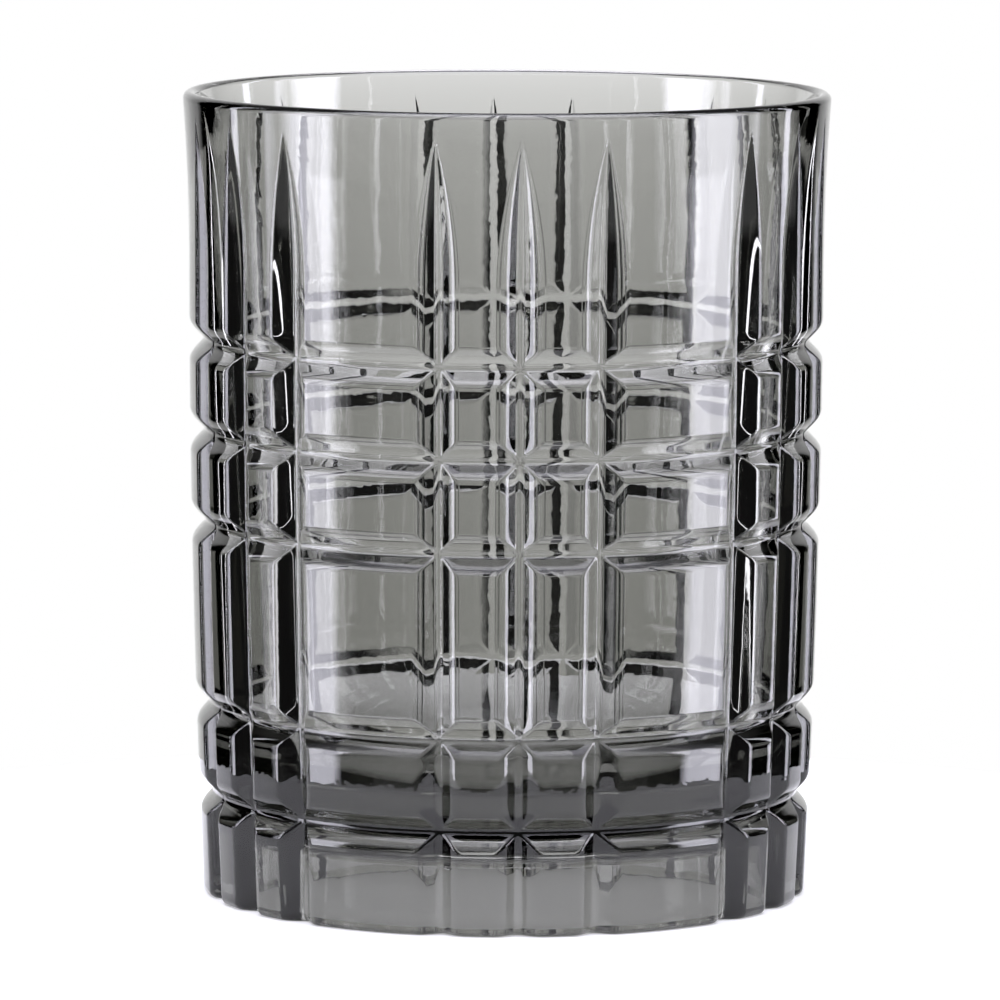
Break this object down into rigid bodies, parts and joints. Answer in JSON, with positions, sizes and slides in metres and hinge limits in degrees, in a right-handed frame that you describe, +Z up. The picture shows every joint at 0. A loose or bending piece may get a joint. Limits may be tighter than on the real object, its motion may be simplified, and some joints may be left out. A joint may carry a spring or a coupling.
{
  "type": "whiskey tumbler",
  "caption": "Short tapered drinking glass with a rounded rim, a foot ring round a deep hollow, and a pressed tartan pattern of ring and upright V-grooves on its outside.",
  "frame": {"origin": "centre of the bottom, on the plane the foot stands on", "axes": "+Z up along the cup's axis, -Y through the middle groove of one cluster of upright grooves"},
  "size_m": [0.082, 0.082, 0.102],
  "materials": {
    "smoke_glass": "clear smoke-grey pressed glass, fire-polished all over, with faint ripples from pressing"
  },
  "bodies": {
    "root": {"tumbler": "smoke_glass"}
  },
  "joints": []
}
